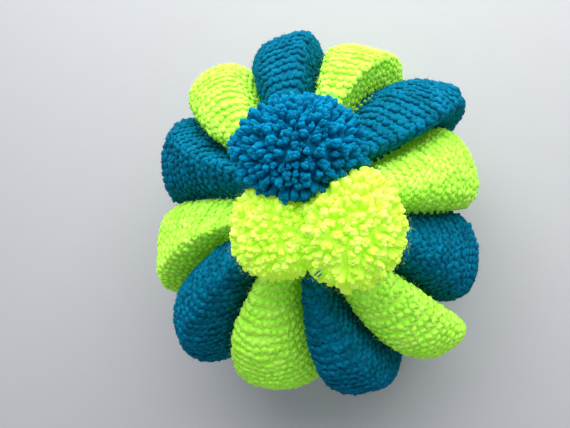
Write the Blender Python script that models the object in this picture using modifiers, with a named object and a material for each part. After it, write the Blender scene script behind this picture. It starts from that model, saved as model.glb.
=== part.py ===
import math
import random

import bmesh
import bpy
import numpy as np
from mathutils import Matrix, Vector

MM = 0.001

WALL = 4.4 * MM
VALLEY_GAP = 1.5 * MM
SEAM_GAP = 0.4 * MM
VALLEY_ROUND = 1.2 * MM
FULL_GAP_RADIUS = 30.0 * MM
LEAN_DEPTH = 20.0 * MM
ACROSS = 12  # steps across a flute
HALF_FLUTES = 6
BELLY_ROW = 5  # the row where the flutes stand out furthest
BELLY_REACH = 98.0

SLIT_LOW = 14.0 * MM
SLIT_HIGH = 94.0 * MM
SLIT_HALF_WIDTH = 13.0 * MM
SLIT_CREST_SHARE = 0.8
SLIT_ROUNDNESS = 0.7

LOCK_GRID = 4  # locks along each edge of the cube that the ball is rounded from
CORE_SHARE = 0.64
LOCK_GAP = 0.5 * MM
LOCK_CAP = 2.2 * MM
LOCK_UNEVEN = 0.08
LOCK_SHORTEST = 0.93
CONTACT_GAP = 0.2 * MM
SEAT_GAP = 0.3 * MM
SEAT_STEP = 0.985
LEAST_FACING = 0.05

# Rows of the knitting from the cast-on hem to the drawn-up neck, in mm. The valleys line the hollow and the crests
# stand clear of it. out, up and lean say how far a flute's own reach, rise and lean count at that row.
STATION = ("valley_r", "valley_z", "crest_r", "crest_z", "out", "up", "lean", "turn", "wall")
STATIONS = (
    (67, 0, 86, 0, 0.7, 0.0, 0.3, 0.0, 4.4),
    (67, 6, 86, 6, 0.7, 0.0, 0.3, 0.0, 4.4),
    (69, 20, 89, 19, 0.8, 0.0, 0.35, 0.0, 4.4),
    (72, 35, 93, 35, 0.9, 0.2, 0.45, 0.0, 4.4),
    (74, 50, 96, 52, 1.0, 0.4, 0.6, 0.0, 4.4),
    (75, 65, 98, 70, 1.0, 0.7, 0.8, 0.05, 4.4),
    (74, 79, 97, 88, 1.0, 1.0, 1.0, 0.1, 4.4),
    (71, 92, 92, 105, 0.95, 1.1, 1.0, 0.25, 4.4),
    (65, 103, 84, 119, 0.85, 1.1, 1.0, 0.45, 4.4),
    (57, 112, 73, 130, 0.7, 1.0, 1.0, 0.65, 4.4),
    (48, 119, 61, 137, 0.5, 0.8, 0.9, 0.85, 4.2),
    (39, 125, 49, 141, 0.3, 0.6, 0.7, 1.0, 3.8),
    (30, 129, 37, 143, 0.15, 0.4, 0.5, 1.0, 3.2),
    (21, 133, 26, 142, 0.0, 0.2, 0.3, 1.0, 2.6),
    (14, 136, 17, 140.5, 0.0, 0.0, 0.1, 1.0, 2.0),
    (7, 138, 8, 139.5, 0.0, 0.0, 0.0, 1.0, 1.7),
)

# Anticlockwise from the slit at +X: the angle of each valley at the belly and near the top in degrees, and how far
# its walls lean anticlockwise in mm where a flute is LEAN_DEPTH deep.
VALLEY = ("belly", "top", "lean")
VALLEYS = (
    (-0.5, -6.0, -1.0),
    (35.7, 29.0, -4.8),
    (54.7, 62.3, 2.4),
    (85.5, 83.9, 0.6),
    (112.2, 111.5, 5.2),
    (134.2, 142.7, 7.5),
    (179.0, 175.5, -3.0),
    (215.1, 205.6, -4.4),
    (245.6, 240.2, -6.8),
    (278.4, 271.3, -5.0),
    (303.3, 292.9, -4.1),
    (320.6, 321.3, 7.8),
    (359.5, 354.0, -1.0),
)

# Crest radius at the belly (mm), rise over the shoulder (mm), how far the crest sits towards the clockwise side, and
# how squarely the flute is puffed out: 2 makes it round in section, more makes it squarer.
FLUTE = ("reach", "rise", "skew", "square")
FLUTES = (
    (85.0, 5.5, 0.08, 2.3),
    (96.9, 3.1, 0.74, 2.6),
    (93.0, -2.4, 0.32, 4.0),
    (96.3, 1.1, 0.37, 2.9),
    (98.1, -2.2, -0.07, 2.4),
    (88.1, 4.3, 0.42, 2.3),
    (94.0, -3.7, -0.79, 2.9),
    (100.3, 7.0, -0.51, 2.3),
    (99.4, -2.4, 0.24, 2.3),
    (99.4, 0.2, -0.24, 3.2),
    (101.0, -2.8, -0.25, 2.3),
    (90.3, -3.4, 0.32, 2.3),
)

# Centre and half-widths of each pompom in mm.
POMPOM = ("x", "y", "z", "half_x", "half_y", "half_z", "turn")
POMPOMS = {
    "pompom_teal": (5, 16.5, 164, 27.5, 23.5, 24.5, 10),
    "pompom_lime_left": (-5, -13.5, 159, 20, 20.5, 19, 35),
    "pompom_lime_right": (24, -12.5, 162, 21.5, 25, 22, 60),
}

YARNS = {
    "lime_yarn": (0.50, 0.86, 0.05, 1.0),
    "teal_yarn": (0.0, 0.12, 0.26, 1.0),
}
YARN_ROUGHNESS = 0.95


def clear_scene():
    for old in list(bpy.data.objects):
        bpy.data.objects.remove(old, do_unlink=True)


def new_collection(name):
    made = bpy.data.collections.new(name)
    bpy.context.scene.collection.children.link(made)
    return made


def yarn_material(name):
    material = bpy.data.materials.new(name)
    material.use_nodes = True
    shader = material.node_tree.nodes["Principled BSDF"]
    shader.inputs["Base Color"].default_value = YARNS[name]
    shader.inputs["Roughness"].default_value = YARN_ROUGHNESS
    shader.inputs["Metallic"].default_value = 0.0
    material.diffuse_color = YARNS[name]
    return material


def rows_of(columns, table):
    return [dict(zip(columns, row)) for row in table]


def slit_opening(height):
    """How far a seam edge is drawn aside at this height, to leave the slit open."""
    share = (height - SLIT_LOW) / (SLIT_HIGH - SLIT_LOW)
    if not 0.0 < share < 1.0:
        return 0.0
    return SLIT_HALF_WIDTH * math.sin(math.pi * share) ** SLIT_ROUNDNESS


def turn_at(step, square):
    """Turn from 0 to pi across a flute, whose steps stay fairly even where the flute is squarish."""
    turn = math.pi * step / ACROSS
    side = math.cos(turn)
    even = math.acos(math.copysign(abs(side) ** (square / 2.0), side))
    return (turn + even) / 2.0


def lobe(turn, skew, square):
    """Across (0 to 1) and depth (0 to 1) of a flute's cross-section at this turn."""
    side = math.cos(turn)
    across = 0.5 - 0.5 * math.copysign(abs(side) ** (2.0 / square), side)
    depth = max(math.sin(turn + skew * math.sin(turn)), 0.0) ** (2.0 / square)
    return across, depth


def skin_point(station, flute, left, right, turn, ends_at_seam):
    """One point of the outer skin, on this row of the knitting and this far round the flute."""
    across, depth = lobe(turn, flute["skew"], flute["square"])
    valley_r = station["valley_r"] * MM
    crest_r = (station["crest_r"] + (flute["reach"] - BELLY_REACH) * station["out"]) * MM
    crest_z = (station["crest_z"] + flute["rise"] * station["up"]) * MM
    valley_z = station["valley_z"] * MM
    radius = valley_r + (crest_r - valley_r) * depth
    height = valley_z + (crest_z - valley_z) * depth
    deep = math.hypot(crest_r - valley_r, crest_z - valley_z) * depth

    angles = []
    for valley, at_seam, way in ((left, ends_at_seam[0], 1.0), (right, ends_at_seam[1], -1.0)):
        gap = (SEAM_GAP if at_seam else VALLEY_GAP * min(1.0, radius / FULL_GAP_RADIUS)) / 2.0
        if at_seam:
            share = 1.0 - (1.0 - SLIT_CREST_SHARE) * depth
            gap += slit_opening(height) * share
        shift = way * gap + valley["lean"] * MM * station["lean"] * deep / LEAN_DEPTH
        angle = valley["belly"] + (valley["top"] - valley["belly"]) * station["turn"]
        angles.append(math.radians(angle) + shift / radius)
    angle = angles[0] + (angles[1] - angles[0]) * across
    return Vector((radius * math.cos(angle), radius * math.sin(angle), height))


def valley_point(station, valley):
    radius = station["valley_r"] * MM - VALLEY_ROUND
    angle = math.radians(valley["belly"] + (valley["top"] - valley["belly"]) * station["turn"])
    return Vector((radius * math.cos(angle), radius * math.sin(angle), station["valley_z"] * MM))


def skin_row(station, flutes, valleys):
    """The points of one row of a half, from its clockwise seam to the other."""
    points = []
    for index, flute in enumerate(flutes):
        seams = (index == 0, index == len(flutes) - 1)
        for step in range(ACROSS + 1):
            turn = turn_at(step, flute["square"])
            points.append(skin_point(station, flute, valleys[index], valleys[index + 1], turn, seams))
        if not seams[1]:
            points.append(valley_point(station, valleys[index + 1]))
    return points


def knitted_half(name, first, yarns, collection):
    """One half: six flutes of alternating yarns as an outer skin, thickened inwards by Solidify."""
    stations = rows_of(STATION, STATIONS)
    flutes = rows_of(FLUTE, FLUTES)[first:first + HALF_FLUTES]
    valleys = rows_of(VALLEY, VALLEYS)[first:first + HALF_FLUTES + 1]
    grid = [skin_row(station, flutes, valleys) for station in stations]
    columns = len(grid[0])
    faces = []
    for row in range(len(grid) - 1):
        for column in range(columns - 1):
            start = row * columns + column
            faces.append((start, start + 1, start + columns + 1, start + columns))
    mesh = bpy.data.meshes.new(name)
    mesh.from_pydata([point for row in grid for point in row], [], faces)
    half = bpy.data.objects.new(name, mesh)
    collection.objects.link(half)

    walls = half.vertex_groups.new(name="wall")
    for row, station in enumerate(stations):
        points = list(range(row * columns, (row + 1) * columns))
        walls.add(points, station["wall"] * MM / WALL, "REPLACE")
    thicken = half.modifiers.new("wall", "SOLIDIFY")
    thicken.thickness = WALL
    thicken.offset = -1.0
    thicken.use_rim = True
    thicken.vertex_group = walls.name
    for yarn in yarns:
        mesh.materials.append(yarn)
    for face in mesh.polygons:
        flute = (face.index % (columns - 1)) // (ACROSS + 2)
        face.material_index = flute % 2
    mesh.shade_smooth()
    return half


def cosy_top(spot):
    """Height of the flute crests at this place near the gathered top."""
    radius = math.hypot(spot.x, spot.y) / MM
    turn = math.degrees(math.atan2(spot.y, spot.x)) % 360.0
    starts = [valley["top"] for valley in rows_of(VALLEY, VALLEYS)]
    flutes = rows_of(FLUTE, FLUTES)
    index = max([i for i, start in enumerate(starts) if start <= turn], default=0) % len(flutes)
    flute = flutes[index]
    rows = rows_of(STATION, reversed(STATIONS[BELLY_ROW:]))
    radii = [row["crest_r"] + (flute["reach"] - BELLY_REACH) * row["out"] for row in rows]
    heights = [row["crest_z"] + flute["rise"] * row["up"] for row in rows]
    return np.interp(radius, radii, heights) * MM


def contact_planes(name):
    """(point, normal) of the planes that flatten a pompom where it meets its neighbours."""
    table = {key: dict(zip(POMPOM, row)) for key, row in POMPOMS.items()}
    own = table[name]
    centre = Vector((own["x"], own["y"], own["z"])) * MM
    planes = []
    for other_name, other in table.items():
        if other_name == name:
            continue
        away = Vector((other["x"], other["y"], other["z"])) * MM - centre
        normal = away.normalized()
        own_size = (own["half_x"] + own["half_y"]) / 2.0
        other_size = (other["half_x"] + other["half_y"]) / 2.0
        share = own_size / (own_size + other_size)
        planes.append((centre + away * share - normal * CONTACT_GAP, normal))
    return planes


def reach_along(direction, centre, half, planes, fullness=1.0):
    """Distance from the centre to the pompom's outside in this direction."""
    reach = fullness / math.sqrt(sum((direction[i] / half[i]) ** 2 for i in range(3)))
    for point, normal in planes:
        facing = direction.dot(normal)
        if facing > LEAST_FACING:
            reach = min(reach, (point - centre).dot(normal) / facing)
    while (centre + direction * reach).z < cosy_top(centre + direction * reach) + SEAT_GAP:
        reach *= SEAT_STEP
    return reach


def draw_out_lock(bm, face, reach):
    """A lock of yarn drawn straight out of this face of the ball, with a rounded tip."""
    middle = face.calc_center_median()
    bmesh.ops.inset_individual(bm, faces=[face], thickness=LOCK_GAP)
    tip = bmesh.ops.extrude_discrete_faces(bm, faces=[face])["faces"][0]
    for vert in tip.verts:
        vert.co *= (reach - LOCK_CAP) / middle.length
    cap = bmesh.ops.poke(bm, faces=[tip])["verts"][0]
    cap.co += middle.normalized() * LOCK_CAP


def pompom(name, yarn, collection):
    """A ball of yarn with its locks drawn out of it, each one of four sides."""
    row = dict(zip(POMPOM, POMPOMS[name]))
    centre = Vector((row["x"], row["y"], row["z"])) * MM
    half = Vector((row["half_x"], row["half_y"], row["half_z"])) * MM
    planes = contact_planes(name)
    uneven = random.Random(name)

    bm = bmesh.new()
    bmesh.ops.create_cube(bm, size=2.0)
    bmesh.ops.subdivide_edges(bm, edges=bm.edges[:], cuts=LOCK_GRID - 1, use_grid_fill=True)
    turned = Matrix.Rotation(math.radians(row["turn"]), 3, "Z")
    for vert in bm.verts:
        even = Vector([math.tan(side * math.pi / 4.0) for side in vert.co])
        jitter = Vector([uneven.uniform(-LOCK_UNEVEN, LOCK_UNEVEN) for _ in range(3)])
        out = (turned @ even.normalized() + jitter).normalized()
        vert.co = out * reach_along(out, centre, half, planes) * CORE_SHARE
    for face in bm.faces[:]:
        out = face.calc_center_median().normalized()
        draw_out_lock(bm, face, reach_along(out, centre, half, planes, uneven.uniform(LOCK_SHORTEST, 1.0)))
    bmesh.ops.recalc_face_normals(bm, faces=bm.faces[:])

    mesh = bpy.data.meshes.new(name)
    bm.to_mesh(mesh)
    bm.free()
    mesh.materials.append(yarn)
    ball = bpy.data.objects.new(name, mesh)
    ball.location = centre
    collection.objects.link(ball)
    return ball


def main():
    clear_scene()
    cosy = new_collection("tea_cosy")
    lime = yarn_material("lime_yarn")
    teal = yarn_material("teal_yarn")
    knitted_half("knit_back", 0, (lime, teal), cosy)
    knitted_half("knit_front", HALF_FLUTES, (lime, teal), cosy)
    pompom("pompom_teal", teal, cosy)
    pompom("pompom_lime_left", lime, cosy)
    pompom("pompom_lime_right", lime, cosy)


main()
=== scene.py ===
import math

import bpy
import numpy as np
from mathutils import Matrix


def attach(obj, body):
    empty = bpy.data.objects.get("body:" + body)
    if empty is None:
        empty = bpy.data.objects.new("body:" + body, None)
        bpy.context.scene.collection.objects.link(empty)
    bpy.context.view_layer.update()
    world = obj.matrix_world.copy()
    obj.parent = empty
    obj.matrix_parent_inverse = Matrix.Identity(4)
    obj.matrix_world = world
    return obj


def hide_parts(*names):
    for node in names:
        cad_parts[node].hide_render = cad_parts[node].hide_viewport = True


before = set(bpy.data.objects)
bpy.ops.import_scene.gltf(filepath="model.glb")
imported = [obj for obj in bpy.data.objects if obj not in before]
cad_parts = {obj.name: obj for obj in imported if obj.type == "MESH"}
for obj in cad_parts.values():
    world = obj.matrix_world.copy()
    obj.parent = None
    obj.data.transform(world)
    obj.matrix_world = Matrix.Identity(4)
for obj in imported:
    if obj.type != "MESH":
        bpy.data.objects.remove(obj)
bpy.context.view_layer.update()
mm = 0.001

# The rows of the knitting from the cast-on hem to the drawn-up neck, in mm, as the solids have them.
# Each row: valley radius, valley height, crest radius, crest height, then how far a flute's own reach,
# rise and lean count there, how far it has turned to the top's angles, and the wall's thickness
rowTable = np.array((
    (67, 0, 86, 0, 0.7, 0.0, 0.3, 0.0, 4.4), (67, 6, 86, 6, 0.7, 0.0, 0.3, 0.0, 4.4),
    (69, 20, 89, 19, 0.8, 0.0, 0.35, 0.0, 4.4), (72, 35, 93, 35, 0.9, 0.2, 0.45, 0.0, 4.4),
    (74, 50, 96, 52, 1.0, 0.4, 0.6, 0.0, 4.4), (75, 65, 98, 70, 1.0, 0.7, 0.8, 0.05, 4.4),
    (74, 79, 97, 88, 1.0, 1.0, 1.0, 0.1, 4.4), (71, 92, 92, 105, 0.95, 1.1, 1.0, 0.25, 4.4),
    (65, 103, 84, 119, 0.85, 1.1, 1.0, 0.45, 4.4), (57, 112, 73, 130, 0.7, 1.0, 1.0, 0.65, 4.4),
    (48, 119, 61, 137, 0.5, 0.8, 0.9, 0.85, 4.2), (39, 125, 49, 141, 0.3, 0.6, 0.7, 1.0, 3.8),
    (30, 129, 37, 143, 0.15, 0.4, 0.5, 1.0, 3.2), (21, 133, 26, 142, 0.0, 0.2, 0.3, 1.0, 2.6),
    (14, 136, 17, 140.5, 0.0, 0.0, 0.1, 1.0, 2.0), (7, 138, 8, 139.5, 0.0, 0.0, 0.0, 1.0, 1.7),
))
valleyOut, valleyUp, crestOut, crestUp, reachShare, riseShare, leanShare, turnShare, wall = range(9)

# Anticlockwise from the slit on +X: each valley's angle at the belly and at the top, and its lean in mm
valleyTable = (
    (-0.5, -6.0, -1.0), (35.7, 29.0, -4.8), (54.7, 62.3, 2.4), (85.5, 83.9, 0.6),
    (112.2, 111.5, 5.2), (134.2, 142.7, 7.5), (179.0, 175.5, -3.0), (215.1, 205.6, -4.4),
    (245.6, 240.2, -6.8), (278.4, 271.3, -5.0), (303.3, 292.9, -4.1), (320.6, 321.3, 7.8),
    (359.5, 354.0, -1.0),
)

# Each flute's reach at the belly (mm), its rise over the shoulder (mm), the skew of its crest, and how
# squarely it is puffed out
fluteTable = (
    (85.0, 5.5, 0.08, 2.3), (96.9, 3.1, 0.74, 2.6), (93.0, -2.4, 0.32, 4.0), (96.3, 1.1, 0.37, 2.9),
    (98.1, -2.2, -0.07, 2.4), (88.1, 4.3, 0.42, 2.3), (94.0, -3.7, -0.79, 2.9), (100.3, 7.0, -0.51, 2.3),
    (99.4, -2.4, 0.24, 2.3), (99.4, 0.2, -0.24, 3.2), (101.0, -2.8, -0.25, 2.3), (90.3, -3.4, 0.32, 2.3),
)

shape = dict(
    halfFlutes=6,
    bellyReach=98.0,        # the reach in mm that the row table is drawn for
    valleyGap=1.5 * mm, seamGap=0.4 * mm,
    fullGapRadius=30 * mm,  # nearer to the middle than this a valley's gap narrows
    leanDepth=20 * mm,      # how deep a flute is where it leans by its table's amount
    slitLow=14 * mm, slitHigh=94 * mm, slitHalfWidth=13 * mm, slitRoundness=0.7,
    slitCrestShare=0.8,     # how much of the slit's width is left at the crests beside it
    edgeTurn=0.02,          # the nearest to a valley, in radians, that the skin is read
)


def hexColour(text):
    channels = [int(text[i:i + 2], 16) / 255.0 for i in (1, 3, 5)]
    return tuple(c / 12.92 if c <= 0.04045 else ((c + 0.055) / 1.055) ** 2.4 for c in channels) + (1.0,)


def rowAt(v):
    # a smooth curve through the table's rows
    last = len(rowTable) - 1
    i = np.clip(np.floor(v).astype(int), 0, last - 1)
    f = (v - i)[..., None]
    before, here = rowTable[np.clip(i - 1, 0, last)], rowTable[i]
    after, further = rowTable[i + 1], rowTable[np.clip(i + 2, 0, last)]
    return 0.5 * (2 * here + (after - before) * f + (2 * before - 5 * here + 4 * after - further) * f ** 2
                  + (3 * here - before - 3 * after + further) * f ** 3)


def slitOpening(height):
    share = (height - shape["slitLow"]) / (shape["slitHigh"] - shape["slitLow"])
    inside = np.sin(np.pi * np.clip(share, 0.0, 1.0))
    return shape["slitHalfWidth"] * np.maximum(inside, 0.0) ** shape["slitRoundness"]


def turnOf(a, flute):
    # evens out the steps round a squarish flute
    side = np.cos(a)
    return np.arccos(np.sign(side) * np.abs(side) ** (fluteTable[flute][3] / 2.0))


def fluteDepth(turn, flute):
    # 0 in a valley, 1 on the crest
    skew, square = fluteTable[flute][2:]
    return np.maximum(np.sin(turn + skew * np.sin(turn)), 0.0) ** (2.0 / square)


def skin(flute, v, turn):
    # points of the outer skin: v counts the table's rows, turn goes from 0 to pi across the flute
    v, turn = np.broadcast_arrays(np.asarray(v, float), np.asarray(turn, float))
    row = rowAt(v)
    reach, rise, _, square = fluteTable[flute]
    side = np.cos(turn)
    across = 0.5 - 0.5 * np.sign(side) * np.abs(side) ** (2.0 / square)
    depth = fluteDepth(turn, flute)
    valleyR, valleyZ = row[..., valleyOut] * mm, row[..., valleyUp] * mm
    crestR = (row[..., crestOut] + (reach - shape["bellyReach"]) * row[..., reachShare]) * mm
    crestZ = (row[..., crestUp] + rise * row[..., riseShare]) * mm
    radius = valleyR + (crestR - valleyR) * depth
    height = valleyZ + (crestZ - valleyZ) * depth
    deep = np.hypot(crestR - valleyR, crestZ - valleyZ) * depth
    angles = []
    for valley, way in ((flute, 1.0), (flute + 1, -1.0)):
        belly, top, lean = valleyTable[valley]
        if valley % shape["halfFlutes"] == 0:
            # a seam, with its slit
            gap = shape["seamGap"] / 2 + slitOpening(height) * (1 - (1 - shape["slitCrestShare"]) * depth)
        else:
            gap = shape["valleyGap"] * np.minimum(1.0, radius / shape["fullGapRadius"]) / 2
        shift = way * gap + lean * mm * row[..., leanShare] * deep / shape["leanDepth"]
        angles.append(np.radians(belly + (top - belly) * row[..., turnShare]) + shift / radius)
    angle = angles[0] + (angles[1] - angles[0]) * across
    return np.stack([radius * np.cos(angle), radius * np.sin(angle), height], axis=-1)


def unit(vectors):
    return vectors / np.maximum(np.linalg.norm(vectors, axis=-1, keepdims=True), 1e-12)


def skinFrame(flute, v, turn):
    # the skin's points with their directions along the row, up the flute and out, and metres per table row
    step, swing = 0.02, 0.01
    points = skin(flute, v, turn)
    low, high = np.maximum(v - step, 0.0), np.minimum(v + step, len(rowTable) - 1.0)
    rise = skin(flute, high, turn) - skin(flute, low, turn)
    perRow = np.linalg.norm(rise, axis=-1) / (high - low)
    near, far = np.maximum(turn - swing, 0.0), np.minimum(turn + swing, np.pi)
    along = unit(skin(flute, v, far) - skin(flute, v, near))
    up = unit(rise)
    out = unit(np.cross(along, up))
    return points, along, up, out, perRow


def tubes(centres, radii, lean, sides, flat=1.0):
    # centres (tubes, rings, 3), radii (tubes, rings) and lean, any direction that stays off the tubes' own
    # lines; flat presses them thinner in the direction of lean
    count, rings = radii.shape
    ahead = unit(np.gradient(centres, axis=1))
    aside = unit(np.cross(lean, ahead))
    over = np.cross(ahead, aside)
    turn = np.linspace(0, 2 * np.pi, sides, endpoint=False)
    ring = np.cos(turn)[:, None] * aside[:, :, None, :] + flat * np.sin(turn)[:, None] * over[:, :, None, :]
    points = centres[:, :, None, :] + radii[:, :, None, None] * ring
    index = np.arange(count * rings * sides).reshape(count, rings, sides)
    nextSide = np.roll(index, -1, axis=2)
    quads = np.stack([index[:, :-1], nextSide[:, :-1], nextSide[:, 1:], index[:, 1:]], axis=-1)
    caps = np.concatenate([index[:, 0, ::-1], index[:, -1]])
    length = np.concatenate([np.zeros((count, 1)), np.cumsum(
        np.linalg.norm(np.diff(centres, axis=1), axis=-1), axis=1)], axis=1)
    share = np.arange(sides + 1) / sides
    lay = np.zeros(quads.shape + (2,))
    for corner, (r, s) in enumerate(((0, 0), (0, 1), (1, 1), (1, 0))):
        lay[..., corner, 0] = (length[:, r:rings - 1 + r] / mm)[:, :, None]
        lay[..., corner, 1] = share[s:sides + s]
    return points.reshape(-1, 3), quads.reshape(-1, 4), caps, lay.reshape(-1, 2)


def gather(parts):
    # several sets of tubes as one
    start, points, quads, caps, lay = 0, [], [], [], []
    for partPoints, partQuads, partCaps, partLay in parts:
        points.append(partPoints)
        quads.append(partQuads + start)
        caps += (partCaps + start).tolist()
        lay.append(partLay)
        start += len(partPoints)
    return np.concatenate(points), np.concatenate(quads), caps, np.concatenate(lay)


def yarnPiece(name, parts, material, body="root"):
    points, quads, caps, lay = gather(parts)
    points[:, 2] = np.maximum(points[:, 2], 0.0)   # the hem lies flat
    mesh = bpy.data.meshes.new(name)
    mesh.from_pydata(points.tolist(), [], quads.tolist() + caps)
    uv = mesh.uv_layers.new(name="lay")
    everyLoop = np.zeros((len(mesh.loops), 2))
    everyLoop[:len(lay)] = lay
    uv.data.foreach_set("uv", everyLoop.ravel())
    mesh.materials.append(material)
    mesh.shade_smooth()
    piece = bpy.data.objects.new(name, mesh)
    bpy.context.scene.collection.objects.link(piece)
    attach(piece, body)
    print(name, len(quads) * 2 + sum(len(c) - 2 for c in caps), "triangles")
    return piece


def addNode(tree, kind, settings=None, links=None):
    node = tree.nodes.new(kind)
    for name, value in (settings or {}).items():
        if isinstance(name, int) or name in node.inputs:
            node.inputs[name].default_value = value
        else:
            setattr(node, name, value)
    for name, source in (links or {}).items():
        tree.links.new(source, node.inputs[name])
    return node


print("spinning the lime and the teal yarn")


def spunAcrylic(name, look):
    # acrylic yarn, spun and loosely plied, then brushed: matt and soft, with a pale halo where fibres catch
    # the light at the edges, small changes of tone from the dye, and no clear highlight
    material = bpy.data.materials.new(name)
    material.use_nodes = True
    material.cycles.emission_sampling = "NONE"
    tree = material.node_tree
    tree.nodes.clear()
    place = addNode(tree, "ShaderNodeTexCoord").outputs["Object"]
    patches = addNode(tree, "ShaderNodeTexNoise", {"Scale": 1 / look["patch"], "Detail": 3.0},
                      {"Vector": place})
    fibres = addNode(tree, "ShaderNodeTexNoise", {"Scale": 1 / look["fibre"], "Detail": 4.0, "Roughness": 0.7},
                     {"Vector": place})
    blend = addNode(tree, "ShaderNodeMath", {"operation": "MULTIPLY_ADD", 1: 0.55},
                    {0: fibres.outputs["Fac"], 2: patches.outputs["Fac"]})
    tones = addNode(tree, "ShaderNodeValToRGB", links={"Fac": blend.outputs[0]})
    ramp = tones.color_ramp
    ramp.elements[0].position, ramp.elements[1].position = look["toneFrom"], look["toneTo"]
    ramp.elements[0].color, ramp.elements[1].color = hexColour(look["deep"]), hexColour(look["pale"])
    middle = ramp.elements.new((look["toneFrom"] + look["toneTo"]) / 2)
    middle.color = hexColour(look["body"])

    # the plies twist round the yarn, and single fibres stand up from them
    lay = addNode(tree, "ShaderNodeUVMap", {"uv_map": "lay"}).outputs["UV"]
    parts = addNode(tree, "ShaderNodeSeparateXYZ", links={"Vector": lay})
    twist = addNode(tree, "ShaderNodeMath", {"operation": "MULTIPLY_ADD", 1: 1 / look["plyTurn"]},
                    {0: parts.outputs["X"], 2: parts.outputs["Y"]})
    phase = addNode(tree, "ShaderNodeMath", {"operation": "MULTIPLY", 1: 2 * math.pi * look["plies"]},
                    {0: twist.outputs[0]})
    plies = addNode(tree, "ShaderNodeMath", {"operation": "SINE"}, {0: phase.outputs[0]})
    plyBump = addNode(tree, "ShaderNodeBump", {"Strength": look["plyBump"], "Distance": look["plyDepth"]},
                      {"Height": plies.outputs[0]})
    fibreBump = addNode(tree, "ShaderNodeBump", {"Strength": look["fibreBump"], "Distance": look["fibreDepth"]},
                        {"Height": fibres.outputs["Fac"], "Normal": plyBump.outputs["Normal"]})
    roughness = addNode(tree, "ShaderNodeMapRange", {"To Min": look["smoothest"], "To Max": look["roughest"]},
                        {"Value": fibres.outputs["Fac"]})
    # the emission colour and strength are a painted glow that lifts the yarn's shaded parts; a look without it
    # sets the strength to 0
    shader = addNode(tree, "ShaderNodeBsdfPrincipled", {
        "IOR": look["ior"], "Specular IOR Level": look["specular"], "Sheen Weight": look["sheen"],
        "Sheen Roughness": 0.5, "Sheen Tint": hexColour(look["halo"]),
        "Emission Color": hexColour(look["paintedGlowColour"]), "Emission Strength": look["paintedGlowStrength"],
    }, {"Base Color": tones.outputs["Color"], "Roughness": roughness.outputs["Result"],
        "Normal": fibreBump.outputs["Normal"]})
    addNode(tree, "ShaderNodeOutputMaterial", links={"Surface": shader.outputs["BSDF"]})
    return material


yarnLook = dict(
    ior=1.49,                       # acrylic's own
    specular=0.06, smoothest=0.8, roughest=1.0,     # brushed fibres scatter nearly all of a highlight
    patch=6 * mm,                   # the dye takes a little unevenly, over about one and a half stitches
    fibre=0.45 * mm,                # a real fibre's 0.02 mm is too fine to show, so it is drawn coarser
    fibreBump=0.4, fibreDepth=0.3 * mm,
    plies=3, plyTurn=6.0,           # mm of yarn to one twist
    plyBump=0.3, plyDepth=0.15 * mm,
    toneFrom=0.55, toneTo=1.0,
)
# painted glow: the lime yarn, dyed fluorescent, is given a faint emission of its own that lifts its shaded
# hollows whatever the light; the teal soaks light up and has none
limeLook = dict(yarnLook, sheen=0.1, paintedGlowColour="#8CF000", paintedGlowStrength=0.07)
tealLook = dict(yarnLook, sheen=0.06, paintedGlowColour="#003A50", paintedGlowStrength=0.0)
limeYarn = spunAcrylic("lime_spun_acrylic", dict(
    limeLook, deep="#A6F048", body="#B8F856", pale="#CCFF6C", halo="#E6FF9A"))
tealYarn = spunAcrylic("teal_spun_acrylic", dict(
    tealLook, deep="#005672", body="#006888", pale="#00789E", halo="#1898C0"))
# the same yarn cut to a pile shows its fibre ends, which look paler
# the lime pile's glow is painted too, and stronger, to lift the shade in the gaps between its ends
limePile = spunAcrylic("lime_cut_acrylic_pile", dict(
    limeLook, paintedGlowColour="#C4F400", paintedGlowStrength=0.17, deep="#C0F24C", body="#D2FA60", pale="#E2FF84", halo="#F0FFB0"))
tealPile = spunAcrylic("teal_cut_acrylic_pile", dict(
    tealLook, deep="#006086", body="#0078A4", pale="#008ABA", halo="#24A4D0"))
yarns = (limeYarn, tealYarn)


# the knitting is garter stitch, whose ridges run round the cosy
knit = dict(
    ridgePitch=4.8 * mm, stitchWidth=3.7 * mm, yarnRadius=1.3 * mm, wave=1.0 * mm,
    loopWidth=0.05,         # widens each loop and steepens its legs
    sink=1.6 * mm,          # how far the backing lies under the outer skin
    valleySink=0.8 * mm,    # how deep the yarn crosses a valley
    dip=0.55 * mm,          # how far the yarn dives between two loops
    lowLoop=0.3 * mm,       # every second loop lies this much lower
    girthChange=0.10,       # the yarn swells over each upper loop
    pressed=0.8,            # soft yarn lies a little flat
    uneven=0.22, loopSwell=0.3, loopShift=0.3 * mm, loopLift=0.28 * mm,     # how much one loop differs
    drift=0.65 * mm,        # how far a whole ridge wanders up and down
    squeeze=(0.4, 1.15),    # the least and most that the loops are crowded together
    seamTurn=0.8 * mm,      # how far the yarn turns in at a seam
    meeting=0.2 * mm,       # how far from a valley's line two flutes' yarns meet
    steps=6, sides=5, seed=7,
    backing=1.8 * mm, backAcross=24, backValley=0.4 * mm,
    fibres=6500, fibreLength=(1.0 * mm, 2.8 * mm),
    fibreRadius=0.05 * mm,  # some five times a real fibre's, so that it shows
)
fuzz = dict(spread=0.6, lean=0.7, root=0.9, tip=0.25, sides=3)


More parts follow.
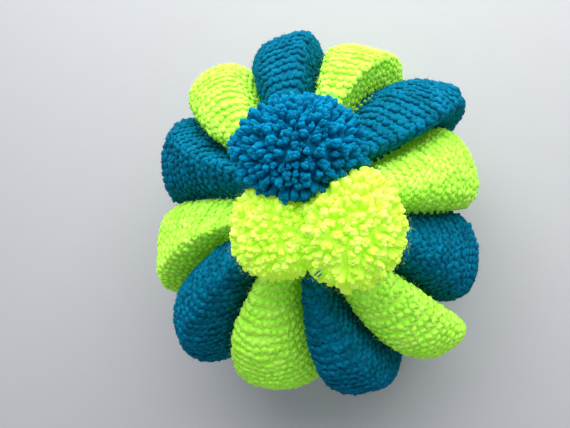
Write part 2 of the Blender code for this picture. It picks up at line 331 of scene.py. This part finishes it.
# Soft ridges and troughs where the knitting folds over, placed as they show in the picture: flute, table row
# and turn of the middle, half length in rows, half width in radians, height in mm (below 0 is a trough)
folds = (
    (1, 8.6, 0.75, 3.4, 0.28, 1.6), (1, 7.5, 1.55, 2.6, 0.45, -0.9),
    (2, 9.2, 0.80, 3.0, 0.26, 1.5), (2, 8.4, 2.30, 2.0, 0.40, -0.8),
    (3, 9.5, 0.85, 3.0, 0.28, 1.3), (3, 7.8, 2.20, 2.2, 0.40, -0.7),
    (4, 9.0, 0.80, 3.0, 0.28, 1.5), (4, 7.2, 2.00, 2.0, 0.50, -0.8),
    (5, 8.6, 2.35, 2.6, 0.30, 1.2), (5, 9.4, 1.30, 2.4, 0.40, -0.8),
    (6, 9.6, 1.50, 2.6, 0.30, -1.1), (6, 6.6, 1.10, 1.8, 0.40, 0.8),
    (7, 9.4, 1.60, 1.1, 0.80, -1.1), (7, 6.4, 0.90, 2.4, 0.35, 0.9),
    (8, 10.6, 1.55, 0.8, 0.95, -1.5), (8, 8.0, 1.60, 0.7, 0.90, -0.9), (8, 5.6, 1.50, 0.8, 0.90, -0.8),
    (9, 10.2, 1.40, 0.9, 0.80, -1.3), (9, 7.2, 0.95, 3.0, 0.32, 1.1),
    (10, 9.8, 1.70, 1.3, 0.70, -1.2), (10, 7.0, 2.30, 2.2, 0.35, 1.0),
    (11, 9.2, 2.20, 2.4, 0.40, -1.0), (11, 7.4, 1.20, 2.0, 0.40, 0.8),
    (0, 9.6, 1.90, 2.0, 0.40, -1.0), (0, 7.6, 1.00, 2.2, 0.40, 0.8),
    # the squared ends of the upper flutes
    (1, 4.0, 0.30, 2.5, 0.36, 6.5), (1, 5.8, 0.84, 2.0, 0.28, -3.4), (1, 5.8, 1.32, 2.0, 0.30, 1.9),
    (4, 5.4, 0.55, 2.2, 0.35, 2.2),
    (3, 5.6, 1.40, 1.8, 0.60, -1.3), (2, 5.6, 1.60, 1.8, 0.60, -1.3), (9, 5.2, 2.20, 1.8, 0.50, -1.2),
)


def foldHeight(flute, v, turn):
    height = np.zeros(np.broadcast(v, turn).shape)
    for own, row, middle, long, wide, high in folds:
        if own == flute:
            height += high * mm * np.exp(-((v - row) / long) ** 2 - ((turn - middle) / wide) ** 2)
    return height


def ridgeRows():
    # table rows at which the ridges lie, evenly spaced along a crest
    v = np.linspace(0, len(rowTable) - 1, 1501)
    crest = rowAt(v)[:, [crestOut, crestUp]] * mm
    length = np.concatenate([[0], np.cumsum(np.linalg.norm(np.diff(crest, axis=0), axis=1))])
    count = int(length[-1] / knit["ridgePitch"])
    return np.interp((np.arange(count) + 0.5) * knit["ridgePitch"], length, v), length, v


ridges, crestLength, crestRows = ridgeRows()
rowsPerRidge = np.gradient(ridges)
fineTurns = np.linspace(0, np.pi, 241)


def valleyFloor(valley, v, depth):
    # the line of a valley, this deep under the skin, with its direction outwards
    v, step = np.asarray(v, float), 0.02
    row = rowAt(v)
    climb = rowAt(np.minimum(v + step, len(rowTable) - 1.0)) - rowAt(np.maximum(v - step, 0.0))
    out = unit(np.stack([climb[..., valleyUp], -climb[..., valleyOut]], axis=-1))
    belly, top, _ = valleyTable[valley]
    angle = np.radians(belly + (top - belly) * row[..., turnShare])
    radius = row[..., valleyOut] * mm - depth * out[..., 0]
    height = row[..., valleyUp] * mm - depth * out[..., 1]
    return (np.stack([radius * np.cos(angle), radius * np.sin(angle), height], axis=-1),
            np.stack([out[..., 0] * np.cos(angle), out[..., 0] * np.sin(angle), out[..., 1]], axis=-1))


def ridgeYarn(flute, ridge, uneven):
    # one ridge of one flute: the yarn climbs over each stitch and dips behind the next
    v = ridges[ridge]
    path = skin(flute, v, turnOf(fineTurns, flute))
    length = np.concatenate([[0], np.cumsum(np.linalg.norm(np.diff(path, axis=0), axis=1))])
    stitches = max(2, int(round(length[-1] / knit["stitchWidth"])))
    along = np.linspace(0, length[-1], stitches * knit["steps"] + 1)
    a = np.interp(along, length, fineTurns)
    turn = turnOf(a, flute)
    points, row, up, out, perRow = skinFrame(flute, np.full(len(turn), v), turn)
    squeeze = np.clip(perRow * rowsPerRidge[ridge] / knit["ridgePitch"], *knit["squeeze"])

    phase = 2 * np.pi * (np.arange(len(along)) / knit["steps"] + uneven.uniform(-0.3, 0.3))

    def loopNoise(size):
        # one random value to each half loop, with softened steps
        each = np.repeat(uneven.normal(0, size, stitches * 2 + 1), knit["steps"] // 2)[:len(along)]
        return np.convolve(np.pad(each, 1, "edge"), np.ones(3) / 3, "valid")

    perLoop = loopNoise(knit["uneven"])
    drift = knit["drift"] * np.sin(phase / uneven.uniform(4, 8) + uneven.uniform(0, 6))
    offUp = (knit["wave"] * (1 + perLoop) * np.cos(phase) + drift + loopNoise(knit["loopShift"])) * squeeze
    low = 0.5 - 0.5 * np.cos(phase)
    between = (0.5 - 0.5 * np.cos(2 * phase)) ** 1.5
    lift = foldHeight(flute, v, turn) - knit["yarnRadius"] * knit["pressed"] - knit["dip"] * between
    lift += loopNoise(knit["loopLift"]) - knit["lowLoop"] * low
    side = knit["loopWidth"] * knit["stitchWidth"] * np.sin(2 * phase)
    centre = points + offUp[:, None] * up + lift[:, None] * out + side[:, None] * row
    swell = 1 + knit["loopSwell"] * perLoop + knit["girthChange"] * (0.5 - low)
    radius = knit["yarnRadius"] * swell * np.sqrt(squeeze)
    # at a seam the yarn turns in, and in a valley it runs on to meet the next flute's yarn
    for end, valley in ((0, flute), (-1, flute + 1)):
        if valley % shape["halfFlutes"] == 0:
            centre[end] -= out[end] * knit["seamTurn"]
            continue
        floorPoint, floorOut = valleyFloor(valley, v, knit["valleySink"])
        floorPoint = floorPoint + unit(centre[end] - floorPoint) * knit["meeting"]
        at = 0 if end == 0 else len(centre)
        centre, out = np.insert(centre, at, floorPoint, axis=0), np.insert(out, at, floorOut, axis=0)
        radius = np.insert(radius, at, radius[end])
    return tubes(centre[None], radius[None], out[None], knit["sides"], knit["pressed"]), centre, out, radius


def backingHalf(name, first):
    # the fabric behind the ridges, one sheet from seam to seam, thickened inwards
    v = np.interp(np.linspace(0, crestLength[-1], len(ridges) + 1), crestLength, crestRows)
    a = np.linspace(0, np.pi, knit["backAcross"] + 1)
    low, high = shape["edgeTurn"], np.pi - shape["edgeTurn"]
    columns, yarnOf = [], []
    for flute in range(first, first + shape["halfFlutes"]):
        for angle in a:
            turn = np.full(len(v), turnOf(angle, flute))
            points, _, _, out, _ = skinFrame(flute, v, np.clip(turn, low, high))
            columns.append(points + (foldHeight(flute, v, turn) - knit["sink"])[:, None] * out)
            yarnOf.append(flute % 2)
        if flute < first + shape["halfFlutes"] - 1:
            columns.append(valleyFloor(flute + 1, v, knit["sink"] + knit["backValley"])[0])
            yarnOf.append(flute % 2)
    grid = np.stack(columns, axis=1)
    rows, wide = grid.shape[:2]
    index = np.arange(rows * wide).reshape(rows, wide)
    faces = np.stack([index[:-1, :-1], index[:-1, 1:], index[1:, 1:], index[1:, :-1]], axis=-1).reshape(-1, 4)
    mesh = bpy.data.meshes.new(name)
    mesh.from_pydata(grid.reshape(-1, 3).tolist(), [], faces.tolist())
    for yarn in yarns:
        mesh.materials.append(yarn)
    faceYarn = np.tile(np.array(yarnOf[:-1]), rows - 1)
    mesh.polygons.foreach_set("material_index", faceYarn)
    mesh.shade_smooth()
    half = bpy.data.objects.new(name, mesh)
    bpy.context.scene.collection.objects.link(half)
    walls = half.vertex_groups.new(name="wall")
    thickness = rowAt(v)[:, wall] / rowTable[0, wall]
    for r in range(rows):
        walls.add(index[r].tolist(), float(min(thickness[r], 1.0)), "REPLACE")
    thicken = half.modifiers.new("wall", "SOLIDIFY")
    thicken.thickness, thicken.offset, thicken.use_rim = knit["backing"], -1.0, True
    thicken.vertex_group = walls.name
    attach(half, "root")
    print(name, len(faces) * 4, "triangles")
    return half


def looseFibres(roots, outs, radii, count, uneven, lengths, thickness):
    # single fibres that stand off the yarn, each a fine tapered spike
    pick = uneven.integers(0, len(roots), count)
    start = unit(outs[pick] + uneven.normal(0, fuzz["spread"], (count, 3)))
    lean = unit(start + uneven.normal(0, fuzz["lean"], (count, 3)))
    foot = roots[pick] + start * radii[pick, None] * fuzz["root"]
    tip = foot + lean * uneven.uniform(*lengths, (count, 1))
    girth = thickness * np.tile((1.0, fuzz["tip"]), (count, 1))
    across = np.where(np.abs(lean[:, 2:3]) < 0.9, [[0.0, 0.0, 1.0]], [[1.0, 0.0, 0.0]])
    return tubes(np.stack([foot, tip], axis=1), girth, np.repeat(across[:, None], 2, axis=1), fuzz["sides"])


def knittedHalf(name, node, first):
    half = backingHalf(name, first)
    uneven = np.random.default_rng(knit["seed"] + first)
    parts, lines = ([], []), ([], [])
    for flute in range(first, first + shape["halfFlutes"]):
        for ridge in range(len(ridges)):
            yarn = ridgeYarn(flute, ridge, uneven)
            parts[flute % 2].append(yarn[0])
            lines[flute % 2].append(yarn[1:])
    for colour, part, line, material in zip(("lime", "teal"), parts, lines, yarns):
        yarnPiece(name + "_" + colour + "_stitches", part, material)
        roots, outs, radii = (np.concatenate(each) for each in zip(*line))
        fibres = looseFibres(roots, outs, radii, knit["fibres"] // 2, uneven, knit["fibreLength"],
                             knit["fibreRadius"])
        yarnPiece(name + "_" + colour + "_fuzz", [fibres], material)
    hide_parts(node)


print("knitting the two halves")
knittedHalf("back_half", "knit_back", 0)
knittedHalf("front_half", "knit_front", shape["halfFlutes"])


# making up: the cast-on edge, the selvedges, the sewn seams and the yarn carried behind
edges = dict(
    ropeRadius=1.3 * mm, knotSwell=0.22, knotLift=0.35 * mm, uneven=0.04, sides=6, stepsPerStitch=4,
    hemRow=0.12, hemHeight=1.4 * mm, hemIn=1.1,             # hemIn counts radii of the rope
    selvedgeRows=(0.3, 12.5), selvedgeIn=1.6 * mm,
    seamStart=3 * mm, seamShare=0.8, seamStitch=5.2 * mm, seamRadius=0.9 * mm, seamInto=4.0 * mm,
    seamOpen=4 * mm,                                        # no stitches where the slit is wider than this
    seamArch=1.5 * mm, seamSunk=1.2 * mm, seamSlant=1.3 * mm,
    carriedRadius=0.9 * mm, carriedIn=4.6 * mm, carriedSag=1.0 * mm, carriedClear=2 * mm,
    carriedSides=4, carriedRidges=slice(1, -6),
)


def ropeAlong(path, outs, pitch, uneven):
    # an edge of small knots, one to each stitch
    length = np.concatenate([[0], np.cumsum(np.linalg.norm(np.diff(path, axis=0), axis=1))])
    count = max(3, int(length[-1] / pitch) * edges["stepsPerStitch"])
    at = np.linspace(0, length[-1], count)
    line = np.stack([np.interp(at, length, path[:, k]) for k in range(3)], axis=1)
    out = unit(np.stack([np.interp(at, length, outs[:, k]) for k in range(3)], axis=1))
    knots = np.cos(2 * np.pi * at / pitch)
    radius = edges["ropeRadius"] * (1 + edges["knotSwell"] * knots + uneven.normal(0, edges["uneven"], count))
    line = line + out * (edges["knotLift"] * knots)[:, None]
    return tubes(line[None], radius[None], out[None], edges["sides"])


def castOnEdge(flute, uneven):
    turn = turnOf(np.linspace(shape["edgeTurn"], np.pi - shape["edgeTurn"], 121), flute)
    points, _, _, out, _ = skinFrame(flute, np.full(len(turn), edges["hemRow"]), turn)
    points[:, 2] = edges["hemHeight"]
    flat = unit(out * (1, 1, 0))
    return ropeAlong(points - flat * edges["ropeRadius"] * edges["hemIn"], flat, knit["stitchWidth"], uneven)


def selvedge(flute, turn, uneven):
    v = np.linspace(*edges["selvedgeRows"], 220)
    points = skin(flute, v, turn)
    outward = unit(points * (1, 1, 0))
    return ropeAlong(points - outward * edges["selvedgeIn"], outward, knit["ridgePitch"], uneven)


def seamStitches(flute, other, turn, otherTurn, uneven):
    # whip stitches over the two selvedges, above and below the slit
    parts = []
    length = np.arange(edges["seamStart"], crestLength[-1] * edges["seamShare"], edges["seamStitch"])
    turns = np.linspace(0, np.pi, 7)
    up = np.array((0.0, 0.0, 1.0))
    for v in np.interp(length, crestLength, crestRows):
        near, far = skin(flute, v, turn), skin(other, v, otherTurn)
        if np.linalg.norm(near - far) > edges["seamOpen"]:
            continue
        out, across = unit(near * (1, 1, 0)), unit(far - near + 1e-6)
        reach = edges["seamInto"] * uneven.uniform(0.85, 1.1)
        arch = (near + far) / 2 + across * (np.cos(turns) * reach * 0.5)[:, None]
        arch += out * (np.sin(turns) * edges["seamArch"] - edges["seamSunk"])[:, None]
        arch += up * (np.cos(turns) * edges["seamSlant"])[:, None]
        parts.append(tubes(arch[None], np.full((1, len(turns)), edges["seamRadius"]),
                           np.tile(up, (1, len(turns), 1)), edges["sides"]))
    return parts


def carriedYarn(flute, uneven):
    # the yarn that isn't in use is drawn tight behind each flute, which is what makes it stand out
    parts = []
    up = np.array((0.0, 0.0, 1.0))
    share = np.linspace(0, 1, 5)[:, None]
    for ridge in ridges[edges["carriedRidges"]]:
        row = rowAt(np.array([ridge]))[0]
        ends = []
        for valley in (flute, flute + 1):
            belly, top, _ = valleyTable[valley]
            angle = np.radians(belly + (top - belly) * row[turnShare])
            if valley % shape["halfFlutes"] == 0:
                # it stays clear of the slit
                way = 1 if valley == flute else -1
                clear = slitOpening(row[valleyUp] * mm) + edges["carriedClear"]
                angle += way * clear / (row[valleyOut] * mm)
            radius = row[valleyOut] * mm - edges["carriedIn"] * uneven.uniform(0.9, 1.1)
            ends.append(np.array((radius * np.cos(angle), radius * np.sin(angle), row[valleyUp] * mm)))
        sag = edges["carriedSag"] * uneven.uniform(0.2, 1.0)
        line = ends[0] * (1 - share) + ends[1] * share - up * np.sin(np.pi * share) * sag
        parts.append(tubes(line[None], np.full((1, len(share)), edges["carriedRadius"]),
                           np.tile(up, (1, len(share), 1)), edges["carriedSides"]))
    return parts


def makeUp():
    uneven = np.random.default_rng(21)
    rope, seams, carried = ([], []), [], ([], [])
    for flute in range(len(fluteTable)):
        rope[flute % 2].append(castOnEdge(flute, uneven))
        carried[1 - flute % 2].extend(carriedYarn(flute, uneven))
    last, half = len(fluteTable) - 1, shape["halfFlutes"]
    low, high = shape["edgeTurn"], np.pi - shape["edgeTurn"]
    for flute, turn in ((0, low), (half - 1, high), (half, low), (last, high)):
        rope[flute % 2].append(selvedge(flute, turn, uneven))
    seams += seamStitches(0, last, 0.0, np.pi, uneven)
    seams += seamStitches(half, half - 1, 0.0, np.pi, uneven)
    for colour, ropes, strands, yarn in zip(("lime", "teal"), rope, carried, yarns):
        yarnPiece(colour + "_edges", ropes, yarn)
        yarnPiece(colour + "_carried_yarn", strands, yarn)
    yarnPiece("side_seams", seams, tealYarn)


print("making up the edges and seams")
makeUp()


# centre and half sizes in mm, then how many ends and their girth; tuft points where some ends stand out
pompoms = dict(
    teal=dict(node="pompom_teal", centre=(5, 16.5, 164), half=(27.5, 23.5, 24.5), ends=720, girth=0.97,
              yarn=tealPile, seed=3, slot="teal_yarn", tuft=(-0.97, 0.16, -0.10)),
    limeLeft=dict(node="pompom_lime_left", centre=(-5, -13.5, 159), half=(20, 20.5, 19), ends=470, girth=0.97,
                  yarn=limePile, seed=5, slot="lime_yarn", tuft=None),
    limeRight=dict(node="pompom_lime_right", centre=(24, -12.5, 162), half=(21.5, 25, 22), ends=520, girth=1.08,
                   yarn=limePile, seed=9, slot="lime_yarn", tuft=None),
)
cutYarn = dict(
    radius=1.7 * mm, rings=(0.62, 0.78, 0.90, 0.97, 1.0), plies=3, plyTwist=0.35, sides=5,
    splay=(0.20, 0.27, 0.33, 0.38, 0.40), plyGirth=(0.50, 0.60, 0.66, 0.60, 0.34), plyLength=0.3 * mm,
    evenness=0.025, lengthSpread=0.04, wander=0.10, bend=2.6, fullness=0.975,
    core=0.80, coreLumps=0.03,
    press=0.1 * mm,         # how far two pompoms press into each other
    seat=0.4 * mm,          # how far a pompom stays off the flutes under it
    fibres=3, fibreLength=(0.5 * mm, 1.6 * mm), fibreRadius=0.035 * mm,
    tuftSpread=0.985, tuftReach=1.09,
)


def crestHeight(x, y):
    # height of the flutes under a place near the top
    radius = np.hypot(x, y) / mm
    turn = np.degrees(np.arctan2(y, x)) % 360.0
    starts = np.array([top for _, top, _ in valleyTable])
    flute = (np.searchsorted(starts, turn, side="right") - 1) % len(fluteTable)
    rows = rowTable[:4:-1]          # from the neck down to the belly
    height = np.zeros_like(radius)
    for each, (reach, rise, _, _) in enumerate(fluteTable):
        mine = flute == each
        crestRadius = rows[:, crestOut] + (reach - shape["bellyReach"]) * rows[:, reachShare]
        height[mine] = np.interp(radius[mine], crestRadius, rows[:, crestUp] + rise * rows[:, riseShare])
    return height * mm


def pompomReach(key, directions):
    # how far a pompom reaches each way: an egg shape, flattened where it meets the others and the flutes
    own = pompoms[key]
    centre, half = np.array(own["centre"]) * mm, np.array(own["half"]) * mm
    reach = 1 / np.sqrt(((directions / half) ** 2).sum(axis=1))
    for name, other in pompoms.items():
        if name == key:
            continue
        away = np.array(other["centre"]) * mm - centre
        normal = unit(away)
        ownSize, otherSize = sum(own["half"][:2]), sum(other["half"][:2])
        facing = directions @ normal
        ownShare = np.linalg.norm(away) * ownSize / (ownSize + otherSize)
        limit = (ownShare + cutYarn["press"]) / np.maximum(facing, 0.05)
        reach = np.where(facing > 0.05, np.minimum(reach, limit), reach)
    for _ in range(60):
        tips = centre + directions * reach[:, None]
        low = tips[:, 2] < crestHeight(tips[:, 0], tips[:, 1]) + cutYarn["seat"]
        if not low.any():
            break
        reach = np.where(low, reach * 0.985, reach)
    return reach


def evenDirections(count, uneven, spread):
    # a spiral of evenly spread directions, each put a little off its place
    i = np.arange(count) + 0.5
    z, turn = 1 - 2 * i / count, np.pi * (1 + 5 ** 0.5) * i
    flat = np.sqrt(1 - z * z)
    return unit(np.stack([flat * np.cos(turn), flat * np.sin(turn), z], axis=1)
                + uneven.normal(0, spread, (count, 3)))


def makePompom(key):
    own = pompoms[key]
    uneven = np.random.default_rng(own["seed"])
    centre = np.array(own["centre"]) * mm
    out = evenDirections(own["ends"], uneven, cutYarn["evenness"])
    length = 1 + uneven.normal(0, cutYarn["lengthSpread"], len(out)).clip(-0.08, 0.06)
    reach = pompomReach(key, out) * cutYarn["fullness"] * length
    if own["tuft"]:
        inTuft = out @ unit(np.array(own["tuft"])) > cutYarn["tuftSpread"]
        reach = np.where(inTuft, reach * cutYarn["tuftReach"], reach)
    rings = np.array(cutYarn["rings"])
    bend = uneven.normal(0, cutYarn["wander"], (len(out), 3))
    bend -= (bend * out).sum(axis=1, keepdims=True) * out
    bowed = (rings - rings[0]) ** 2 * cutYarn["bend"]
    along = rings[None, :, None] * out[:, None, :] + bowed[None, :, None] * bend[:, None, :]
    centres = centre + along * reach[:, None, None]
    lean = np.where(np.abs(out[:, 2:3]) < 0.9, [[0.0, 0.0, 1.0]], [[1.0, 0.0, 0.0]])
    thick = cutYarn["radius"] * own["girth"] * uneven.uniform(0.8, 1.2, len(out))
    aside = unit(np.cross(lean, out))
    over = np.cross(out, aside)
    start = uneven.uniform(0, 2 * np.pi, len(out))
    plies = []
    for ply in range(cutYarn["plies"]):
        turn = start[:, None] + 2 * np.pi * ply / cutYarn["plies"] + cutYarn["plyTwist"] * np.arange(len(rings))
        away = np.cos(turn)[..., None] * aside[:, None] + np.sin(turn)[..., None] * over[:, None]
        path = centres + away * (np.array(cutYarn["splay"]) * thick[:, None])[..., None]
        # the plies of one end are cut at slightly different lengths
        path = path + out[:, None, :] * uneven.normal(0, cutYarn["plyLength"], (len(out), 1, 1))
        girth = np.array(cutYarn["plyGirth"]) * thick[:, None]
        plies.append(tubes(path, girth, np.repeat(lean[:, None], len(rings), axis=1), cutYarn["sides"]))
    ends = yarnPiece(own["node"] + "_cut_ends", plies, own["yarn"])
    halo = looseFibres(centres[:, -1], out, thick, len(out) * cutYarn["fibres"], uneven,
                       cutYarn["fibreLength"], cutYarn["fibreRadius"])
    halo = yarnPiece(own["node"] + "_fuzz", [halo], own["yarn"])

    bpy.ops.mesh.primitive_ico_sphere_add(subdivisions=4, radius=1.0)
    core = bpy.context.object
    core.name, core.data.name = own["node"] + "_wound_core", own["node"] + "_wound_core"
    points = np.empty(len(core.data.vertices) * 3)
    core.data.vertices.foreach_get("co", points)
    points = unit(points.reshape(-1, 3))
    waves = np.sin(23 * points[:, 0] + 5) * np.sin(19 * points[:, 1]) * np.sin(21 * points[:, 2] + 2)
    lumps = 1 + cutYarn["coreLumps"] * waves
    points = centre + points * (pompomReach(key, points) * cutYarn["core"] * lumps)[:, None]
    core.data.vertices.foreach_set("co", points.ravel())
    core.data.materials.append(own["yarn"])
    core.data.shade_smooth()
    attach(core, "root")
    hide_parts(own["node"])


def looseThreads():
    # two dark thread ends, left from the tying, stick out under the lime pompoms
    threads = dict(radius=0.28 * mm, sides=6, paths=(
        ((7.1, -33.9, 153), (9.6, -32.2, 163), (11.8, -30.4, 171), (14.1, -28.9, 176)),
        ((8.0, -34.5, 153), (10.4, -33.0, 162), (12.5, -31.5, 169), (14.5, -30.2, 175)),
    ))
    parts = []
    for path in threads["paths"]:
        points = np.array(path, float) * mm
        share = np.linspace(0, 1, 16)
        knots = np.linspace(0, 1, len(points))
        line = np.stack([np.polyval(np.polyfit(knots, points[:, k], 3), share) for k in range(3)], axis=1)
        parts.append(tubes(line[None], np.full((1, 16), threads["radius"]), np.tile((0, 0, 1.0), (1, 16, 1)),
                           threads["sides"]))
    yarnPiece("loose_threads", parts, tealPile)


print("tying the three pompoms")
for key in pompoms:
    makePompom(key)
looseThreads()


studio = dict(
    floor=dict(colour="#AEB0B7", size=4.0, darkest=0.97, roughness=0.7,
               mottle=1 / 60),      # about 17 mm, the nap of a roller
    world="#EEF1F6", worldStrength=0.56,
    lamp=dict(place=(0.06, 0.52, 0.48), aim=(0.0, 0.0, 0.08), size=0.95, watts=12.5, colour="#FFFDF6"),
)


def paintedFloor(name, look):
    # a board painted matt with a roller: even and pale, with a faint mottling
    material = bpy.data.materials.new(name)
    material.use_nodes = True
    tree = material.node_tree
    shader = tree.nodes["Principled BSDF"]
    place = addNode(tree, "ShaderNodeTexCoord").outputs["Object"]
    mottle = addNode(tree, "ShaderNodeTexNoise", {"Scale": 1 / look["mottle"], "Detail": 2.0},
                     {"Vector": place})
    tone = addNode(tree, "ShaderNodeValToRGB", links={"Fac": mottle.outputs["Fac"]})
    pale = hexColour(look["colour"])
    tone.color_ramp.elements[0].color = tuple(c * look["darkest"] for c in pale[:3]) + (1.0,)
    tone.color_ramp.elements[1].color = pale
    tree.links.new(tone.outputs["Color"], shader.inputs["Base Color"])
    shader.inputs["Roughness"].default_value = look["roughness"]
    return material


print("setting the floor, the lamp and the camera")
bpy.ops.mesh.primitive_plane_add(size=studio["floor"]["size"])
floor = bpy.context.object
floor.name = "floor"
floor.data.materials.append(paintedFloor("matt_painted_board", studio["floor"]))

world = bpy.data.worlds.new("soft_daylight")
bpy.context.scene.world = world
world.use_nodes = True
sky = world.node_tree.nodes["Background"]
sky.inputs["Color"].default_value = hexColour(studio["world"])
sky.inputs["Strength"].default_value = studio["worldStrength"]

lampData = bpy.data.lights.new("soft_lamp", "AREA")
lampData.size, lampData.energy = studio["lamp"]["size"], studio["lamp"]["watts"]
lampData.color = hexColour(studio["lamp"]["colour"])[:3]
lamp = bpy.data.objects.new("soft_lamp", lampData)
bpy.context.scene.collection.objects.link(lamp)
place = np.array(studio["lamp"]["place"])
back = unit(place - np.array(studio["lamp"]["aim"]))
right = unit(np.cross((0.0, 1.0, 0.0), back))
facing = Matrix(np.stack([right, np.cross(back, right), back], axis=1)).to_4x4()
lamp.matrix_world = Matrix.Translation(place) @ facing

view = dict(place=(0.0382, -0.0214, 0.380), right=(0.98382, 0.0, -0.17915), up=(0.01151, 0.99794, 0.06323),
            back=(0.17878, -0.06427, 0.98179), lens=35.305, sensor=36.0, nearest=0.01)
cameraData = bpy.data.cameras.new("camera")
cameraData.sensor_fit, cameraData.sensor_width, cameraData.lens = "HORIZONTAL", view["sensor"], view["lens"]
cameraData.clip_start = view["nearest"]
camera = bpy.data.objects.new("camera", cameraData)
bpy.context.scene.collection.objects.link(camera)
turned = Matrix([view["right"], view["up"], view["back"]]).transposed().to_4x4()
camera.matrix_world = Matrix.Translation(view["place"]) @ turned
bpy.context.scene.camera = camera
bpy.context.scene.view_settings.view_transform = "Standard"

bpy.context.view_layer.update()
